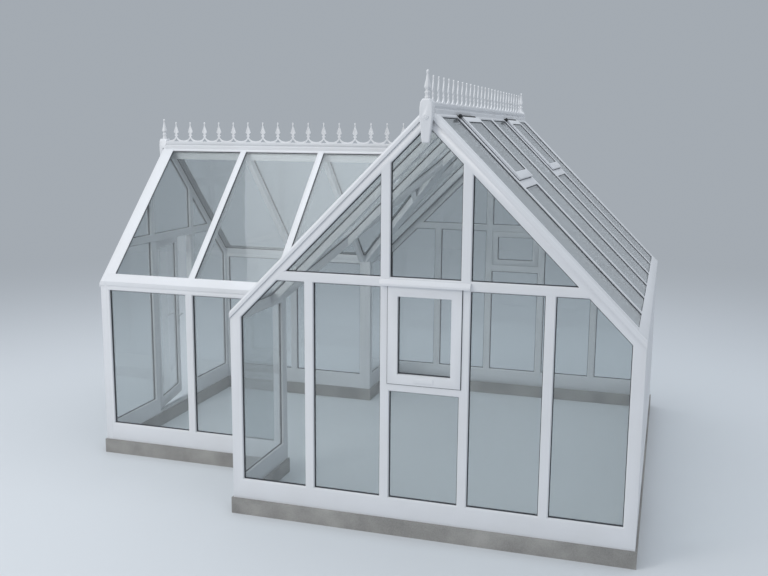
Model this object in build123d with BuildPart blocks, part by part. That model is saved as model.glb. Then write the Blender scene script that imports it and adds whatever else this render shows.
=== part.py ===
"""A white glasshouse with a T-shaped plan.

The main house has its ridge from front to back. A lower wing joins its left side, with a door in the
wing's end wall. X runs from left to right, Y from the front gable to the rear gable and Z upwards.
The origin lies on the ground under the middle of the front gable. All sizes are in millimetres.
"""
import os
from math import cos, radians, sin, sqrt, tan

from build123d import *

os.makedirs("parts", exist_ok=True)

# Driving dimensions: the main house
main_width = 3600
main_length = 4750
eave_height = 1760
plinth_height = 150
roof_pitch = 45
main_bays = 5
roof_bays = 6

# Driving dimensions: the wing on the left
wing_setback = 1045
wing_reach = 2050
wing_width = 2860
wing_bays = 3
wing_bars = 3
wing_bar_pitch = 950
wing_first_bar = 1050

# Driving dimensions: the white profiles
profile_depth = 70
post_width = 105
mullion_width = 85
bottom_rail = 190
header_drop = 100
transom_low = 2060
transom_height = 85
rake_width = 110
bead = 8

# Driving dimensions: glass and how it is held
glass_thickness = 24
glass_bite = 12
glass_room = 2

# Driving dimensions: the roof
cap_thickness = 12
cap_width = 70
bar_width = 60
bar_depth = 70
web_width = 16
ridge_beam_width = 70
ridge_beam_drop = 190
capping_half = 75
capping_rise = 25
lip_half = 59
lip_height = 30
neck_half = 50
neck_height = 14
shoulder_half = 63
trim_proud = 12
verge_cover = 140
verge_seat = 43
verge_face = 45
verge_bevel = 18
eave_proud = 4
eave_cover = 70
eave_seat = 43
eave_face = 45
valley_width = 90
valley_depth = 70

# Driving dimensions: the roof vents, up the slope from the eave
vent_bays = (1, 4)
vent_foot = 1660
vent_frame = 60
vent_foot_rail = 85
vent_rise = 24
vent_glass_low = 8
vent_head_gap = 8
crossbar_width = 84
crossbar_room = 4
crossbar_depth = 50
kerb_width = 62

# Driving dimensions: the plinth
plinth_outset = 15
plinth_width = 100

# Driving dimensions: the top-hung windows
sash_overlap = 15
sash_width = 88
sash_proud = 12
sash_room = 3
front_window_sill = 1240
rear_window_sill = 1610
hood_height = 55
hood_reach = 38
hood_nose = 19
hood_shelf = 13
hood_overlap = 86
hood_lip = 8
plate_length = 170
plate_height = 44
plate_thickness = 5

# Driving dimensions: the door
door_ajar = 12
door_hinge_gap = 8
door_free_gap = 10
door_head_gap = 8
door_foot_gap = 10
door_depth = 60
door_stile = 88
door_bottom_rail = 120
threshold_height = 30
hinge_radius = 8
hinge_offset = 10
hinge_height = 90
hinge_leaf = 38
hinge_plate = 4
hinge_levels = (250, 1040, 1830)
handle_level = 1020
handle_backset = 40

# Driving dimensions: cresting, finials and pendants
spike_pitch = 184
wing_spike_pitch = 186
wing_first_spike = 146
spike_thickness = 12
scallop_leg = 9
scallop_foot = 10
scallop_rise = 48
foot_half = 34
pendant_width = 112
pendant_drop = 320
pendant_top = 30
pendant_proud = 45
pendant_back = 35
rosette_radius = 22
rosette_drop = 115
finial_forward = 11

# What follows from them
half_width = main_width / 2
slope = tan(radians(roof_pitch))
lean = cos(radians(roof_pitch))
base = plinth_height
eave = base + eave_height
main_ridge = eave + half_width * slope
wing_front = wing_setback
wing_rear = wing_front + wing_width
wing_half = wing_width / 2
wing_middle = wing_front + wing_half
wing_ridge = eave + wing_half * slope
wing_end = -half_width - wing_reach
wall_top = eave - 60
cap_drop = cap_thickness / lean
glass_drop = (cap_thickness + glass_thickness) / lean
bar_drop = (cap_thickness + glass_thickness + bar_depth) / lean
rake_drop = rake_width / lean
transom_top = transom_low + transom_height
glass_back = (profile_depth - glass_thickness) / 2
header_low = eave_height - header_drop


def face_of(points):
    """Fills the outline through the points, in the sketch that is open."""
    Polygon(*points, align=None)


def rectangle_between(low, high, mode=Mode.ADD):
    """A rectangle between two opposite corners, in the sketch that is open."""
    with Locations(((low[0] + high[0]) / 2, (low[1] + high[1]) / 2)):
        Rectangle(high[0] - low[0], high[1] - low[1], mode=mode)


def grown(corners, amount):
    """The corners of a rectangle, moved outwards."""
    low, high = corners
    return ((low[0] - amount, low[1] - amount), (high[0] + amount, high[1] + amount))


def mullion_places(width, bays):
    """Gives the left edges of the mullions that split a wall between two posts into equal bays."""
    pane = (width - 2 * post_width - (bays - 1) * mullion_width) / bays
    return [post_width + pane + k * (pane + mullion_width) for k in range(bays - 1)]


def bars_between(places, low, high):
    """Upright members at the places given, as x and z ranges."""
    return [(x, x + mullion_width, low, high) for x in places]


def gable_outline(width, drop, inset=0, foot=0):
    """Outline of a gable wall whose top follows the roof, drop below the roof's outer surface."""
    rise = eave_height - drop + inset * slope
    apex = eave_height - drop + width / 2 * slope
    return [(inset, foot), (width - inset, foot), (width - inset, rise), (width / 2, apex), (inset, rise)]


def panes_of(outline, members):
    """The clear openings that are left in an outline between its members."""
    with BuildSketch() as openings:
        face_of(outline)
        for left, right, low, high in members:
            rectangle_between((left, low), (right, high), mode=Mode.SUBTRACT)
    return openings.faces()


def frame_part(plane, outline, openings, glazed):
    """A wall frame on its outer plane: bevelled openings in the outline, with a groove round each pane."""
    with BuildPart() as frame:
        with BuildSketch(plane):
            face_of(outline)
            for opening in openings:
                add(opening, mode=Mode.SUBTRACT)
        extrude(amount=-profile_depth)
        for level, inward in ((0, -bead), (-profile_depth, bead)):
            for opening in glazed:
                with BuildSketch(plane.offset(level)):
                    add(offset(opening, bead, kind=Kind.INTERSECTION, mode=Mode.PRIVATE))
                with BuildSketch(plane.offset(level + inward)):
                    add(opening)
                loft(ruled=True, mode=Mode.SUBTRACT)
        with BuildSketch(plane.offset(-glass_back)):
            for opening in glazed:
                add(offset(opening, glass_bite + glass_room, kind=Kind.INTERSECTION, mode=Mode.PRIVATE))
        extrude(amount=-glass_thickness, mode=Mode.SUBTRACT)
    return frame.part


def glass_part(groups):
    """Panes for several walls: each group is a wall's plane and its clear openings."""
    with BuildPart() as glass:
        for plane, openings in groups:
            with BuildSketch(plane.offset(-glass_back)):
                for opening in openings:
                    add(offset(opening, glass_bite, kind=Kind.INTERSECTION, mode=Mode.PRIVATE))
            extrude(amount=-glass_thickness)
    return glass.part


def save(part, name):
    """Labels a finished piece and writes it."""
    part.label = name
    export_step(part, f"parts/{name}.step")


# Planes on the outer faces of the walls, each with its normal outwards and its origin at a lower corner
front_plane = Plane(origin=(-half_width, 0, base), x_dir=(1, 0, 0), z_dir=(0, -1, 0))
rear_plane = Plane(origin=(half_width, main_length, base), x_dir=(-1, 0, 0), z_dir=(0, 1, 0))
right_plane = Plane(origin=(half_width, 0, base), x_dir=(0, 1, 0), z_dir=(1, 0, 0))
left_plane = Plane(origin=(-half_width, main_length, base), x_dir=(0, -1, 0), z_dir=(-1, 0, 0))
wing_front_plane = Plane(origin=(wing_end, wing_front, base), x_dir=(1, 0, 0), z_dir=(0, -1, 0))
wing_end_plane = Plane(origin=(wing_end, wing_rear, base), x_dir=(0, -1, 0), z_dir=(-1, 0, 0))
wing_middle_plane = Plane(origin=(0, wing_middle, 0), x_dir=(1, 0, 0), z_dir=(0, 1, 0))
house_middle_plane = Plane(origin=(0, main_length / 2, 0), x_dir=(1, 0, 0), z_dir=(0, 1, 0))

# Front gable: posts, four mullions, a transom and the two rakes in one welded frame
main_mullions = mullion_places(main_width, main_bays)
inner_mullions = main_mullions[1:-1]
window_left = inner_mullions[0] + mullion_width
window_right = inner_mullions[-1]
gable_clear = gable_outline(main_width, rake_drop, post_width, bottom_rail)
gable_members = [(0, main_width, transom_low, transom_top)]
gable_members += bars_between(main_mullions, 0, transom_low)
gable_members += bars_between(inner_mullions, transom_low, main_ridge)


def window_rail(sill):
    """The rail under a top-hung window in the middle bay."""
    return (window_left, window_right, sill - mullion_width, sill)


def is_window(face, sill):
    """True for the clear opening that the sash closes."""
    box = face.bounding_box()
    middle_x = (box.min.X + box.max.X) / 2
    middle_z = (box.min.Y + box.max.Y) / 2
    return abs(middle_x - main_width / 2) < mullion_width and sill < middle_z < transom_low


def gable_wall(plane, sill):
    """The frame of a main gable, with its fixed panes listed."""
    openings = panes_of(gable_clear, gable_members + [window_rail(sill)])
    fixed = [face for face in openings if not is_window(face, sill)]
    return frame_part(plane, gable_outline(main_width, glass_drop), openings, fixed), fixed


front_wall_frame, front_panes = gable_wall(front_plane, front_window_sill)
save(front_wall_frame, "front_wall_frame")
rear_wall_frame, rear_panes = gable_wall(rear_plane, rear_window_sill)
save(rear_wall_frame, "rear_wall_frame")

# Right wall: its mullions stand under the roof bars
bar_pitch = main_length / roof_bays
bar_places = [bar_pitch * k for k in range(1, roof_bays)]
side_post = post_width - profile_depth
right_outline = [
    (profile_depth, 0),
    (main_length - profile_depth, 0),
    (main_length - profile_depth, wall_top - base),
    (profile_depth, wall_top - base),
]
right_clear = [
    (post_width, bottom_rail),
    (main_length - post_width, bottom_rail),
    (main_length - post_width, header_low),
    (post_width, header_low),
]
right_members = bars_between([y - mullion_width / 2 for y in bar_places], 0, eave_height)
right_panes = panes_of(right_clear, right_members)
right_wall_frame = frame_part(right_plane, right_outline, right_panes, right_panes)
save(right_wall_frame, "right_wall_frame")


# Left wall: one short length in front of the wing and one behind it
def left_wall(length):
    """A wall of one bay from the rear corner towards the front, and its clear opening."""
    outline = [
        (profile_depth, 0),
        (length, 0),
        (length, wall_top - base),
        (profile_depth, wall_top - base),
    ]
    clear = [
        (post_width, bottom_rail),
        (length - post_width, bottom_rail),
        (length - post_width, header_low),
        (post_width, header_low),
    ]
    panes = panes_of(clear, [])
    return frame_part(left_plane, outline, panes, panes), panes


left_rear_frame, left_rear_panes = left_wall(main_length - wing_rear + profile_depth)
left_front_frame, left_front_panes = left_wall(wing_front + profile_depth)
with BuildPart() as left_wall_frames:
    add(left_rear_frame)
    add(mirror(left_front_frame, about=house_middle_plane))
save(left_wall_frames.part, "left_wall_frames")

# Wing walls: two bays each, from the end wall to the main house
wing_outline = [
    (profile_depth, 0),
    (wing_reach, 0),
    (wing_reach, wall_top - base),
    (profile_depth, wall_top - base),
]
wing_clear = [
    (post_width, bottom_rail),
    (wing_reach - post_width + side_post, bottom_rail),
    (wing_reach - post_width + side_post, header_low),
    (post_width, header_low),
]
wing_bar_places = [wing_first_bar + wing_bar_pitch * k for k in range(wing_bars)]
wing_panes = panes_of(wing_clear, bars_between([wing_first_bar - mullion_width / 2], 0, eave_height))
wing_front_frame = frame_part(wing_front_plane, wing_outline, wing_panes, wing_panes)
save(wing_front_frame, "wing_front_frame")
with BuildPart() as wing_rear_frame:
    add(mirror(wing_front_frame, about=wing_middle_plane))
save(wing_rear_frame.part, "wing_rear_frame")

# Wing end wall: a panel on each side of the door, and the gable over it
wing_mullions = mullion_places(wing_width, wing_bays)
wing_gable_clear = gable_outline(wing_width, rake_drop, post_width, bottom_rail)
wing_gable_outline = gable_outline(wing_width, glass_drop)
wing_members = [(0, wing_width, transom_low, transom_top)] + bars_between(wing_mullions, 0, wing_ridge)
end_openings = panes_of(wing_gable_clear, wing_members)
doorway_low = wing_mullions[0] + mullion_width
doorway_high = wing_mullions[1]
lower_panes = [face for face in end_openings if face.center().Y < transom_low]
side_panes = [face for face in lower_panes if not doorway_low < face.center().X < doorway_high]
upper_panes = [face for face in end_openings if face.center().Y > transom_low]
rake_foot = (transom_low - eave_height + glass_drop) / slope
side_panel_outline = [
    (0, 0),
    (doorway_low, 0),
    (doorway_low, transom_low),
    (rake_foot, transom_low),
    (0, eave_height - glass_drop),
]
near_panes = [face for face in side_panes if face.center().X < doorway_low]
wing_end_rear_frame = frame_part(wing_end_plane, side_panel_outline, near_panes, near_panes)
save(wing_end_rear_frame, "wing_end_rear_frame")
with BuildPart() as wing_end_front_frame:
    add(mirror(wing_end_rear_frame, about=wing_middle_plane))
save(wing_end_front_frame.part, "wing_end_front_frame")
gable_top_outline = [
    (rake_foot, transom_low),
    (wing_width - rake_foot, transom_low),
    (wing_half, eave_height - glass_drop + wing_half * slope),
]
wing_gable_frame = frame_part(wing_end_plane, gable_top_outline, upper_panes, upper_panes + side_panes)
save(wing_gable_frame, "wing_gable_frame")


# Top-hung windows: a sash that laps over its frame, with one pane
def window_sash(plane, sill):
    """A sash with an outer flange, a body inside the frame and a cover plate on its bottom rail."""
    middle_x = (window_left + window_right) / 2
    middle_z = (sill + transom_low) / 2
    clear_x = window_right - window_left
    clear_z = transom_low - sill
    pane_x = clear_x + 2 * sash_overlap - 2 * sash_width
    pane_z = clear_z + 2 * sash_overlap - 2 * sash_width
    with BuildPart() as sash:
        with BuildSketch(plane):
            with Locations((middle_x, middle_z)):
                Rectangle(clear_x + 2 * sash_overlap, clear_z + 2 * sash_overlap)
                Rectangle(pane_x, pane_z, mode=Mode.SUBTRACT)
        extrude(amount=sash_proud)
        with BuildSketch(plane):
            with Locations((middle_x, middle_z)):
                Rectangle(clear_x - 2 * sash_room, clear_z - 2 * sash_room)
                Rectangle(pane_x, pane_z, mode=Mode.SUBTRACT)
        extrude(amount=-profile_depth)
        with BuildSketch(plane.offset(-glass_back)):
            with Locations((middle_x, middle_z)):
                Rectangle(pane_x + 2 * glass_bite + 2 * glass_room, pane_z + 2 * glass_bite + 2 * glass_room)
        extrude(amount=-glass_thickness, mode=Mode.SUBTRACT)
        with BuildSketch(plane.offset(sash_proud)):
            with Locations((middle_x, sill - sash_overlap + sash_width / 2)):
                Rectangle(plate_length, plate_height)
        extrude(amount=plate_thickness)
    with BuildSketch() as pane:
        with Locations((middle_x, middle_z)):
            Rectangle(pane_x, pane_z)
    return sash.part, pane.faces()


front_sash, front_sash_pane = window_sash(front_plane, front_window_sill)
rear_sash, rear_sash_pane = window_sash(rear_plane, rear_window_sill)
with BuildPart() as gable_windows:
    add(front_sash)
    add(rear_sash)
save(gable_windows.part, "gable_windows")

# Hoods: a drip moulding over each window, with a sloping top and a hollow under its nose
hood_length = window_right - window_left + 2 * hood_overlap
hood_low = transom_low + sash_overlap
with BuildPart() as window_hoods:
    for plane in (front_plane, rear_plane):
        hood_end = plane.from_local_coords(Vector((main_width + hood_length) / 2, hood_low, 0))
        with BuildSketch(Plane(origin=hood_end, x_dir=plane.z_dir, z_dir=-plane.x_dir)):
            face_of([
                (0, 0),
                (hood_reach - 2 * hood_lip, hood_lip),
                (hood_reach - hood_lip, 0),
                (hood_reach, 0),
                (hood_reach, hood_nose),
                (hood_shelf, hood_height),
                (0, hood_height),
            ])
        extrude(amount=hood_length)
save(window_hoods.part, "window_hoods")

# Plinth: straight lengths of concrete under the walls, butted at the corners
plinth_out = half_width + plinth_outset
front_line = -plinth_outset
rear_line = main_length + plinth_outset
wing_front_line = wing_front - plinth_outset
wing_rear_line = wing_rear + plinth_outset
wing_end_line = wing_end - plinth_outset


def plinth(runs):
    """Straight lengths of plinth, each between its lowest and highest corner in plan."""
    with BuildPart() as lengths:
        with BuildSketch():
            for low, high in runs:
                rectangle_between(low, high)
        extrude(amount=plinth_height)
    return lengths.part


main_run = ((-plinth_out, front_line), (plinth_out, front_line + plinth_width))
right_run = ((plinth_out - plinth_width, front_line + plinth_width), (plinth_out, rear_line - plinth_width))
left_inner = plinth_width - plinth_out
left_front_run = ((-plinth_out, front_line + plinth_width), (left_inner, wing_front_line + plinth_width))
left_rear_run = ((-plinth_out, wing_rear_line - plinth_width), (left_inner, rear_line - plinth_width))
wing_run_low = (wing_end_line + plinth_width, wing_front_line)
wing_side_run = (wing_run_low, (-plinth_out, wing_front_line + plinth_width))
wing_end_run = ((wing_end_line, wing_front_line), (wing_end_line + plinth_width, wing_rear_line))
save(plinth([main_run]), "front_plinth")
with BuildPart() as rear_plinth:
    add(mirror(plinth([main_run]), about=house_middle_plane))
save(rear_plinth.part, "rear_plinth")
save(plinth([right_run]), "right_plinth")
save(plinth([left_front_run, left_rear_run]), "left_plinths")
with BuildPart() as wing_side_plinths:
    add(plinth([wing_side_run]))
    mirror(about=wing_middle_plane)
save(wing_side_plinths.part, "wing_side_plinths")
save(plinth([wing_end_run]), "wing_end_plinth")


# Roof bars: a beam under the glass, a web between the panes and a cap over them
def roof_bar(plane, run):
    """One roof bar on an upright plane through its middle.

    The plane's x is the distance in from the eave and its y the height above the eave.
    """
    beam_end = run - ridge_beam_width / 2
    cap_end = run - capping_half
    with BuildPart() as bar:
        with BuildSketch(plane):
            face_of([
                (profile_depth, profile_depth * slope - glass_drop),
                (beam_end, beam_end * slope - glass_drop),
                (beam_end, beam_end * slope - bar_drop),
                (profile_depth, profile_depth * slope - bar_drop),
            ])
        extrude(amount=bar_width / 2, both=True)
        with BuildSketch(plane):
            face_of([
                (profile_depth, profile_depth * slope - glass_drop),
                (beam_end, beam_end * slope - glass_drop),
                (beam_end, beam_end * slope - cap_drop),
                (profile_depth, profile_depth * slope - cap_drop),
            ])
        extrude(amount=web_width / 2, both=True)
        with BuildSketch(plane):
            face_of([
                (eave_cover, eave_cover * slope - cap_drop),
                (cap_end, cap_end * slope - cap_drop),
                (cap_end, cap_end * slope),
                (eave_cover, eave_cover * slope),
            ])
        extrude(amount=cap_width / 2, both=True)
    return bar.part


right_bar_planes = [
    Plane(origin=(half_width, y, eave), x_dir=(-1, 0, 0), z_dir=(0, 1, 0)) for y in bar_places
]
left_bar_planes = [
    Plane(origin=(-half_width, y, eave), x_dir=(1, 0, 0), z_dir=(0, -1, 0)) for y in bar_places
]
wing_bar_planes = [
    Plane(origin=(wing_end + x, wing_front, eave), x_dir=(0, 1, 0), z_dir=(1, 0, 0)) for x in wing_bar_places
]

with BuildPart() as right_roof_bars:
    for plane in right_bar_planes:
        add(roof_bar(plane, half_width))
save(right_roof_bars.part, "right_roof_bars")

# The valleys: each starts at a re-entrant corner and rises to the end of the wing's ridge
wing_ridge_end = -half_width + wing_half
valley_rise = slope / sqrt(2)
valley_half = valley_width / 2
valley_room = 0.5
valley_shift = valley_half * sqrt(2)
web_shift = (web_width / 2 + glass_room) * sqrt(2)
plan_reach = main_length + wing_reach


def valley_wedge(shift):
    """Everything over the wing's side of the two valley lines, moved along X by the shift."""
    apex = wing_ridge_end + shift
    with BuildPart() as wedge:
        with BuildSketch():
            face_of([
                (apex, wing_middle),
                (apex - plan_reach, wing_middle + plan_reach),
                (apex - plan_reach, wing_middle - plan_reach),
            ])
        extrude(amount=2 * main_ridge)
    return wedge.part


wall_corner = (-half_width + eave_cover, wing_front + eave_cover)
valley_start = Plane(origin=(-half_width, wing_front, eave), x_dir=(-1, 1, 0), z_dir=(1, 1, 0))
valley_run = (wing_half + valley_width) * sqrt(2 + slope**2)
with BuildPart() as valleys:
    with BuildSketch(valley_start):
        face_of([
            (-valley_half, valley_half * valley_rise - glass_drop),
            (0, -glass_drop),
            (valley_half, valley_half * valley_rise - glass_drop),
            (valley_half, -glass_drop - valley_depth),
            (-valley_half, -glass_drop - valley_depth),
        ])
        web_half = web_width / 2
        face_of([
            (-web_half, web_half * valley_rise - cap_drop),
            (0, -cap_drop),
            (web_half, web_half * valley_rise - cap_drop),
            (web_half, -glass_drop),
            (-web_half, -glass_drop),
        ])
        face_of([
            (-valley_half, valley_half * valley_rise),
            (0, 0),
            (valley_half, valley_half * valley_rise),
            (valley_half, valley_half * valley_rise - cap_drop),
            (0, -cap_drop),
            (-valley_half, valley_half * valley_rise - cap_drop),
        ])
    extrude(amount=valley_run, dir=(1, 1, slope))
    with BuildSketch(Plane.XY):
        with Locations((wall_corner[0] - plan_reach / 2, wall_corner[1] - plan_reach / 2)):
            Rectangle(plan_reach, plan_reach)
    extrude(amount=2 * main_ridge, mode=Mode.SUBTRACT)
    split(bisect_by=wing_middle_plane.offset(-valley_room), keep=Keep.BOTTOM)
    mirror(about=wing_middle_plane)
save(valleys.part, "valleys")

# Left slope bars, cut to the valleys
with BuildPart() as left_roof_bars:
    for plane in left_bar_planes:
        add(roof_bar(plane, half_width))
    add(valley_wedge(valley_shift), mode=Mode.SUBTRACT)
save(left_roof_bars.part, "left_roof_bars")

# Wing bars on both slopes, cut to the valleys
with BuildPart() as wing_roof_bars:
    for plane in wing_bar_planes:
        add(roof_bar(plane, wing_half))
    add(valley_wedge(-valley_shift), mode=Mode.INTERSECT)
    mirror(about=wing_middle_plane)
save(wing_roof_bars.part, "wing_roof_bars")


# Roof glass: one pane in each bay
def roof_pane(plane, high, width):
    """One pane on a slope up to a reach, from its edge on the plane along the plane's normal."""
    low = eave_seat + glass_room
    with BuildPart() as pane:
        with BuildSketch(plane):
            face_of([
                (low, low * slope - glass_drop),
                (high, high * slope - glass_drop),
                (high, high * slope - cap_drop),
                (low, low * slope - cap_drop),
            ])
        extrude(amount=width)
    return pane.part


def bays_between(places, low, high):
    """Start and width of each pane between bars at the places given, inside two end edges."""
    edge = web_width / 2 + glass_room
    starts = [low] + [place + edge for place in places]
    ends = [place - edge for place in places] + [high]
    return [(start, end - start) for start, end in zip(starts, ends)]


# Roof vents: two hinged lights in the upper half of the right slope, each on a kerb over a crossbar
roof_normal_x = sin(radians(roof_pitch))
right_roof_plane = Plane(origin=(half_width, 0, eave), x_dir=(0, 1, 0), z_dir=(roof_normal_x, 0, lean))
slope_reach = half_width / lean
vent_head = slope_reach - capping_half / lean - cap_thickness - vent_head_gap
kerb_head = slope_reach - ridge_beam_width / 2 / lean - cap_thickness - glass_thickness - glass_room
kerb_foot = vent_foot - crossbar_room
crossbar_low = vent_foot - crossbar_room - crossbar_width
glass_head = crossbar_low + glass_bite + glass_room
cap_edge = cap_width / 2
web_edge = web_width / 2 + glass_room


def vent_bay(inset, low, high):
    """Rectangles across the bays of the vents, at an inset from the bars' middles, between two levels."""
    return [((bar_places[k - 1] + inset, low), (bar_places[k] - inset, high)) for k in vent_bays]


def vent_pane(amount=0):
    """The panes of the vents, made larger all round by an amount."""
    inset = cap_edge + glass_room + vent_frame
    panes = vent_bay(inset, vent_foot + vent_foot_rail, vent_head - vent_frame)
    return [grown(pane, amount) for pane in panes]


def slab(level, thickness, rectangles, holes=()):
    """Flat plates on the right slope, with holes, from a level measured out from the roof's surface."""
    with BuildPart() as plates:
        with BuildSketch(right_roof_plane.offset(level)):
            for rectangle in rectangles:
                rectangle_between(*rectangle)
            for hole in holes:
                rectangle_between(*hole, mode=Mode.SUBTRACT)
        extrude(amount=thickness)
    return plates.part


under_cap = -cap_thickness
under_glass = -cap_thickness - glass_thickness
with BuildPart() as vent_frames:
    kerbs = vent_bay(web_edge, kerb_foot - crossbar_width + 2 * glass_bite, kerb_head)
    kerb_hole_foot = vent_foot + vent_foot_rail - glass_bite
    kerb_holes = vent_bay(web_edge + kerb_width, kerb_hole_foot, kerb_head - kerb_width)
    add(slab(under_glass, glass_thickness, kerbs, kerb_holes))
    add(slab(under_cap, cap_thickness, vent_bay(cap_edge, crossbar_low, kerb_foot)))
    crossbar_beams = vent_bay(bar_width / 2, crossbar_low, kerb_foot)
    add(slab(under_glass - crossbar_depth, crossbar_depth, crossbar_beams))
save(vent_frames.part, "vent_frames")
with BuildPart() as roof_vents:
    sashes = vent_bay(cap_edge + glass_room, vent_foot, vent_head)
    add(slab(under_cap, cap_thickness + vent_rise, sashes, vent_pane()))
    add(slab(-vent_glass_low, glass_thickness, vent_pane(glass_bite + glass_room)), mode=Mode.SUBTRACT)
save(roof_vents.part, "roof_vents")

verge_edge = verge_seat + glass_room
ridge_edge = ridge_beam_width / 2 + glass_room
main_pane_bays = bays_between(bar_places, verge_edge, main_length - verge_edge)
wing_pane_bays = bays_between(wing_bar_places, verge_edge, wing_reach + wing_half)
with BuildPart() as right_roof_glass:
    for bay, (start, width) in enumerate(main_pane_bays):
        high = (glass_head + cap_thickness) * lean if bay in vent_bays else half_width - ridge_edge
        pane_plane = Plane(origin=(half_width, start, eave), x_dir=(-1, 0, 0), z_dir=(0, 1, 0))
        add(roof_pane(pane_plane, high, width))
    add(slab(-vent_glass_low, glass_thickness, vent_pane(glass_bite)))
save(right_roof_glass.part, "right_roof_glass")
with BuildPart() as left_roof_glass:
    for start, width in main_pane_bays:
        pane_plane = Plane(origin=(-half_width, start + width, eave), x_dir=(1, 0, 0), z_dir=(0, -1, 0))
        add(roof_pane(pane_plane, half_width - ridge_edge, width))
    add(valley_wedge(web_shift), mode=Mode.SUBTRACT)
save(left_roof_glass.part, "left_roof_glass")
with BuildPart() as wing_roof_glass:
    for start, width in wing_pane_bays:
        pane_plane = Plane(origin=(wing_end + start, wing_front, eave), x_dir=(0, 1, 0), z_dir=(1, 0, 0))
        add(roof_pane(pane_plane, wing_half - ridge_edge, width))
    add(valley_wedge(-web_shift), mode=Mode.INTERSECT)
    mirror(about=wing_middle_plane)
save(wing_roof_glass.part, "wing_roof_glass")

# Wall glass
with BuildPart() as main_wall_glass:
    add(glass_part([
        (front_plane, front_panes + front_sash_pane),
        (rear_plane, rear_panes + rear_sash_pane),
        (right_plane, right_panes),
        (left_plane, left_rear_panes),
    ]))
    add(mirror(glass_part([(left_plane, left_front_panes)]), about=house_middle_plane))
save(main_wall_glass.part, "main_wall_glass")
with BuildPart() as wing_wall_glass:
    add(glass_part([(wing_front_plane, wing_panes), (wing_end_plane, side_panes + upper_panes)]))
    add(mirror(glass_part([(wing_front_plane, wing_panes)]), about=wing_middle_plane))
save(wing_wall_glass.part, "wing_wall_glass")


# Eaves: a beam that carries the glass, with a moulded trim over the glass and down the wall's head
def eave_beam(plane, length):
    """The part of an eave below the glass, along the plane's normal, on the roof bars' axes."""
    with BuildPart() as beam:
        with BuildSketch(plane):
            face_of([
                (profile_depth, wall_top - eave),
                (profile_depth, profile_depth * slope - glass_drop),
                (0, -glass_drop),
                (0, wall_top - eave),
            ])
        extrude(amount=length)
    return beam.part


def eave_trim(plane, length):
    """The part of an eave above the beam: a stop at the foot of the glass and a cover over its edge."""
    with BuildPart() as trim:
        with BuildSketch(plane):
            face_of([
                (eave_seat, eave_seat * slope - glass_drop),
                (eave_seat, eave_seat * slope - cap_drop),
                (eave_cover, eave_cover * slope - cap_drop),
                (eave_cover, eave_cover * slope),
                (-eave_proud, -eave_proud * slope),
                (-eave_proud, -eave_face),
                (0, -eave_face - eave_proud),
                (0, -glass_drop),
            ])
        extrude(amount=length)
    return trim.part


right_eave_plane = Plane(origin=(half_width, 0, eave), x_dir=(-1, 0, 0), z_dir=(0, 1, 0))
with BuildPart() as right_eave:
    add(eave_beam(right_eave_plane.offset(profile_depth), main_length - 2 * profile_depth))
    add(eave_trim(right_eave_plane.offset(verge_seat), main_length - 2 * verge_seat))
save(right_eave.part, "right_eave")
left_eave_runs = ((0, wing_front + eave_cover), (wing_rear - eave_cover, main_length))
with BuildPart() as left_eaves:
    for low, high in left_eave_runs:
        for make, end_gap in ((eave_beam, profile_depth), (eave_trim, verge_seat)):
            start = max(low, end_gap)
            stop = min(high, main_length - end_gap)
            eave_plane = Plane(origin=(-half_width, stop, eave), x_dir=(1, 0, 0), z_dir=(0, -1, 0))
            add(make(eave_plane, stop - start))
    add(valley_wedge(0), mode=Mode.SUBTRACT)
save(left_eaves.part, "left_eaves")
wing_eave_plane = Plane(origin=(wing_end, wing_front, eave), x_dir=(0, 1, 0), z_dir=(1, 0, 0))
with BuildPart() as wing_eaves:
    add(eave_beam(wing_eave_plane.offset(profile_depth), wing_reach + eave_cover - profile_depth))
    add(eave_trim(wing_eave_plane.offset(verge_seat), wing_reach + eave_cover - verge_seat))
    add(valley_wedge(0), mode=Mode.INTERSECT)
    mirror(about=wing_middle_plane)
save(wing_eaves.part, "wing_eaves")


# Verges: a moulded trim along both rakes of a gable, over the edge of the roof glass
def chevron(half, low, inset=-eave_proud):
    """The band from the roof's surface down by a drop, over a whole gable, from an inset at the eaves."""
    reach = half - inset
    foot = inset * slope
    return [
        (-reach, foot),
        (0, half * slope),
        (reach, foot),
        (reach, foot - low),
        (0, half * slope - low),
        (-reach, foot - low),
    ]


def verge(plane, half):
    """A verge trim; the plane lies on the gable's outer face under the ridge, its normal outwards."""
    with BuildPart() as trim:
        with BuildSketch(plane):
            face_of(chevron(half, verge_face / lean))
        extrude(amount=trim_proud)
        with BuildSketch(plane):
            face_of(chevron(half, glass_drop))
        extrude(amount=-verge_seat)
        outer_face = trim.faces().sort_by(Axis(plane.origin, plane.z_dir))[-1]
        chamfer(outer_face.edges().sort_by(Axis.Z)[-2:], length=verge_bevel)
        with BuildSketch(plane.offset(-verge_seat)):
            face_of(chevron(half, cap_drop, eave_cover))
        extrude(amount=verge_seat - verge_cover)
    return trim.part


front_gable_plane = Plane(origin=(0, 0, eave), x_dir=(1, 0, 0), z_dir=(0, -1, 0))
wing_gable_plane = Plane(origin=(wing_end, wing_middle, eave), x_dir=(0, -1, 0), z_dir=(-1, 0, 0))
with BuildPart() as main_verges:
    add(verge(front_gable_plane, half_width))
    mirror(about=house_middle_plane)
save(main_verges.part, "main_verges")
save(verge(wing_gable_plane, wing_half), "wing_verge")

# Ridges: a beam between the panes, and a moulded capping over their top edges
beam_half = ridge_beam_width / 2


def ridge_beam(plane, length):
    """The beam on a plane under the ridge line, run along the plane's normal."""
    with BuildPart() as beam:
        with BuildSketch(plane):
            face_of([
                (-beam_half, -ridge_beam_drop),
                (beam_half, -ridge_beam_drop),
                (beam_half, -beam_half * slope - cap_drop),
                (0, -cap_drop),
                (-beam_half, -beam_half * slope - cap_drop),
            ])
        extrude(amount=length)
    return beam.part


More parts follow.
